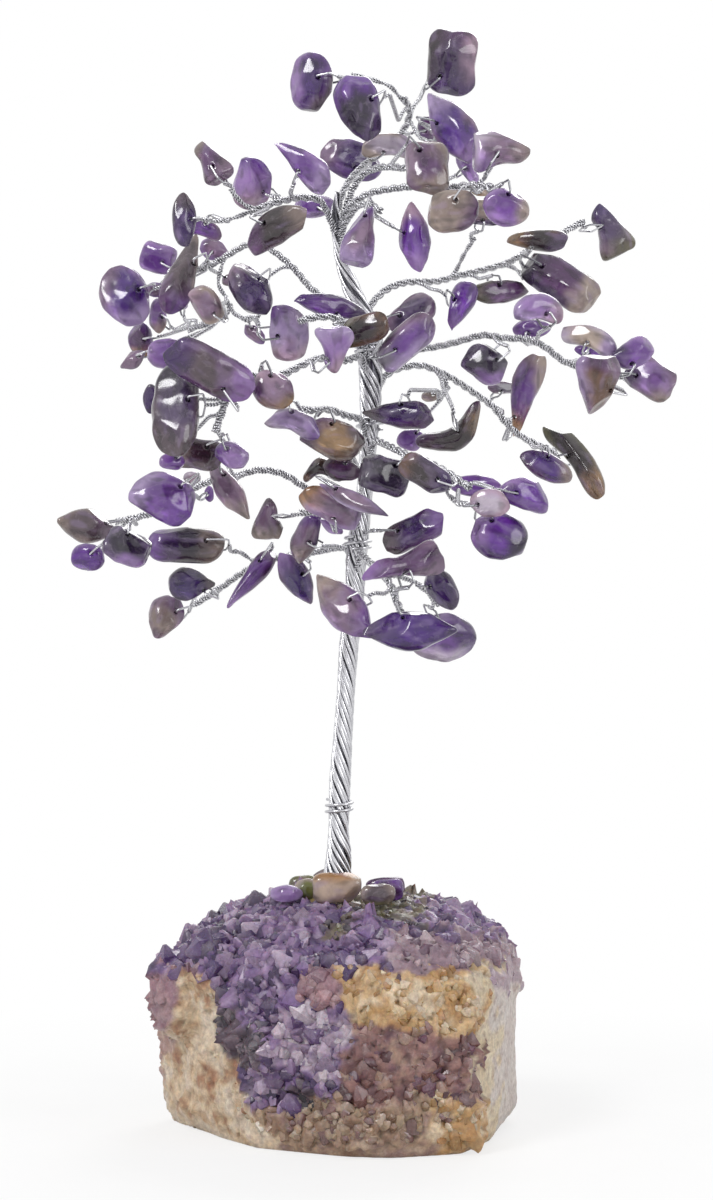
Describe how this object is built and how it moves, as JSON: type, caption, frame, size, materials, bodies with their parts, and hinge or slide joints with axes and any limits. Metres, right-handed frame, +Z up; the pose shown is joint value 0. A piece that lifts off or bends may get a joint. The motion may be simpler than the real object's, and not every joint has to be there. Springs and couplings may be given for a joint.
{
  "type": "gemstone tree ornament",
  "caption": "Small ornamental tree of drilled amethyst chips on twisted silver wire, with a wire trunk standing on a natural amethyst cluster.",
  "frame": {"origin": "middle of the rock base's flat underside", "axes": "+Z up along the trunk, -Y towards the front that the picture shows, +X to its right"},
  "size_m": [0.1082, 0.0766, 0.198],
  "materials": {
    "amethyst_chips": "polished",
    "silver_wire": "bright",
    "amethyst_rock": "rough crystal",
    "foot_stones": "polished",
    "clear_glue": "gloss"
  },
  "bodies": {
    "root": {"rock_base": "amethyst_rock", "trunk_bundle": "silver_wire", "trunk_wraps": "silver_wire", "foot_chips": "foot_stones", "foot_glue": "clear_glue", "crown_inner_limb": "silver_wire", "heart_limb": "silver_wire", "centre_low_limb": "silver_wire", "centre_left_limb": "silver_wire", "centre_front_limb": "silver_wire", "crown_inner_twigs": "silver_wire", "crown_inner_chips": "amethyst_chips", "heart_twigs": "silver_wire", "heart_chips": "amethyst_chips", "centre_low_twigs": "silver_wire", "centre_low_chips": "amethyst_chips", "trunk_twigs": "silver_wire", "trunk_chips": "amethyst_chips", "centre_left_twigs": "silver_wire", "centre_left_chips": "amethyst_chips", "centre_front_twigs": "silver_wire", "centre_front_chips": "amethyst_chips"},
    "crown_top": {"crown_top_limb": "silver_wire", "crown_top_twigs": "silver_wire", "crown_top_chips": "amethyst_chips"},
    "upper_right": {"upper_right_limb": "silver_wire", "upper_right_twigs": "silver_wire", "upper_right_chips": "amethyst_chips"},
    "upper_left": {"upper_left_limb": "silver_wire", "upper_left_twigs": "silver_wire", "upper_left_chips": "amethyst_chips"},
    "left": {"left_limb": "silver_wire", "left_twigs": "silver_wire", "left_chips": "amethyst_chips"},
    "front_left": {"front_left_limb": "silver_wire", "front_left_twigs": "silver_wire", "front_left_chips": "amethyst_chips"},
    "lower_left": {"lower_left_limb": "silver_wire", "lower_left_twigs": "silver_wire", "lower_left_chips": "amethyst_chips"},
    "bottom_left": {"bottom_left_limb": "silver_wire", "bottom_left_twigs": "silver_wire", "bottom_left_chips": "amethyst_chips"},
    "bottom_front": {"bottom_front_limb": "silver_wire", "bottom_front_twigs": "silver_wire", "bottom_front_chips": "amethyst_chips"},
    "lower_right": {"lower_right_limb": "silver_wire", "lower_right_twigs": "silver_wire", "lower_right_chips": "amethyst_chips"},
    "right_mid": {"right_mid_limb": "silver_wire", "right_mid_twigs": "silver_wire", "right_mid_chips": "amethyst_chips"},
    "right": {"right_limb": "silver_wire", "right_twigs": "silver_wire", "right_chips": "amethyst_chips"},
    "right_upper": {"right_upper_limb": "silver_wire", "right_upper_twigs": "silver_wire", "right_upper_chips": "amethyst_chips"}
  },
  "joints": [
    {"name": "crown_top_bend", "type": "hinge", "parent": "root", "child": "crown_top", "pos_m": [0.00029, 0.00169, 0.16635], "axis": [0.1766, -0.9843, 0], "range_deg": [-6, 6]},
    {"name": "upper_right_bend", "type": "hinge", "parent": "root", "child": "upper_right", "pos_m": [0.00043, -0.00179, 0.16208], "axis": [-0.7084, -0.7058, 0], "range_deg": [-6, 6]},
    {"name": "upper_left_bend", "type": "hinge", "parent": "root", "child": "upper_left", "pos_m": [-0.00216, -0.00155, 0.16279], "axis": [-0.6432, 0.7657, 0], "range_deg": [-6, 6]},
    {"name": "left_bend", "type": "hinge", "parent": "root", "child": "left", "pos_m": [0.00129, 0.00208, 0.14679], "axis": [0.4825, 0.8759, 0], "range_deg": [-6, 6]},
    {"name": "front_left_bend", "type": "hinge", "parent": "root", "child": "front_left", "pos_m": [0.00385, -0.00292, 0.13755], "axis": [-0.7169, 0.6972, 0], "range_deg": [-6, 6]},
    {"name": "lower_left_bend", "type": "hinge", "parent": "root", "child": "lower_left", "pos_m": [0.00208, -0.0013, 0.11194], "axis": [-0.1545, 0.988, 0], "range_deg": [-6, 6]},
    {"name": "bottom_left_bend", "type": "hinge", "parent": "root", "child": "bottom_left", "pos_m": [0.0016, 0.00257, 0.10341], "axis": [0.4961, 0.8683, 0], "range_deg": [-6, 6]},
    {"name": "bottom_front_bend", "type": "hinge", "parent": "root", "child": "bottom_front", "pos_m": [0.00351, -0.00291, 0.1027], "axis": [-0.9201, -0.3916, 0], "range_deg": [-6, 6]},
    {"name": "lower_right_bend", "type": "hinge", "parent": "root", "child": "lower_right", "pos_m": [0.00602, -0.00253, 0.12261], "axis": [-0.8546, -0.5193, 0], "range_deg": [-6, 6]},
    {"name": "right_mid_bend", "type": "hinge", "parent": "root", "child": "right_mid", "pos_m": [0.00773, 0.00226, 0.13399], "axis": [0.4973, -0.8676, 0], "range_deg": [-6, 6]},
    {"name": "right_bend", "type": "hinge", "parent": "root", "child": "right", "pos_m": [0.00762, -0.00188, 0.13968], "axis": [-0.5184, -0.8551, 0], "range_deg": [-6, 6]},
    {"name": "right_upper_bend", "type": "hinge", "parent": "root", "child": "right_upper", "pos_m": [0.00526, 0.00212, 0.14679], "axis": [0.414, -0.9103, 0], "range_deg": [-6, 6]}
  ]
}
